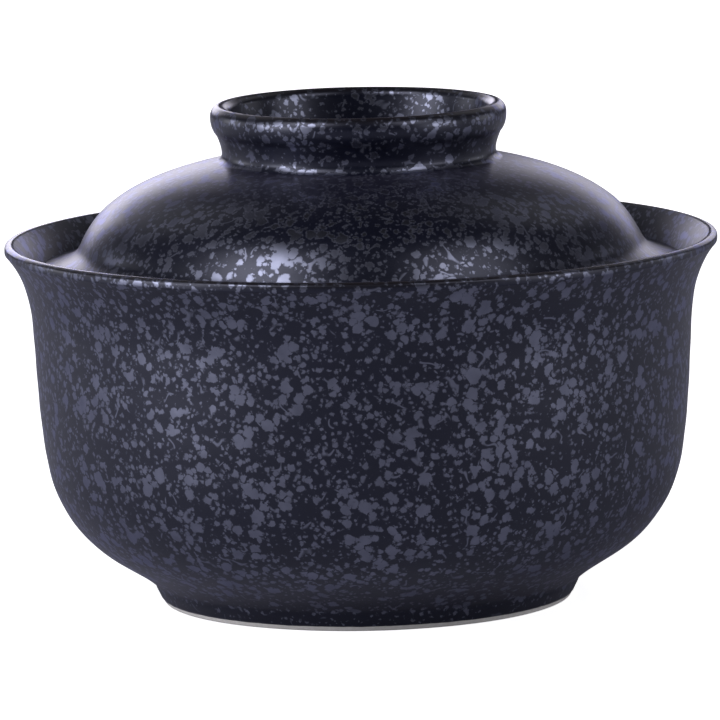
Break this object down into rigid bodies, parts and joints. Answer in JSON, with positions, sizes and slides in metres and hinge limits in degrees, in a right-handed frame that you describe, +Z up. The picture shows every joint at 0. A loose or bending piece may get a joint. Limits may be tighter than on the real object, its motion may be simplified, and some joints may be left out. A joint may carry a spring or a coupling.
{
  "type": "rice bowl with lid",
  "caption": "Round stoneware rice bowl on a ring foot with a flared rim and a loose domed lid that has a ring handle, in a speckled dark glaze.",
  "frame": {"origin": "centre of the plane the foot ring stands on", "axes": "+Z up along the common axis of bowl and lid; both pieces are turned, so X and Y are alike"},
  "size_m": [0.16, 0.16, 0.112],
  "materials": {
    "speckled_glaze_bowl": "satin midnight-blue glaze with blue-grey flecks",
    "speckled_glaze_lid": "satin midnight-blue glaze with blue-grey flecks"
  },
  "bodies": {
    "bowl": {"bowl": "speckled_glaze_bowl"},
    "lid": {"lid": "speckled_glaze_lid"}
  },
  "joints": [
    {"name": "lid_lift", "type": "slide", "parent": "bowl", "child": "lid", "axis": [0, 0, 1], "range_m": [0, 0.09]}
  ]
}
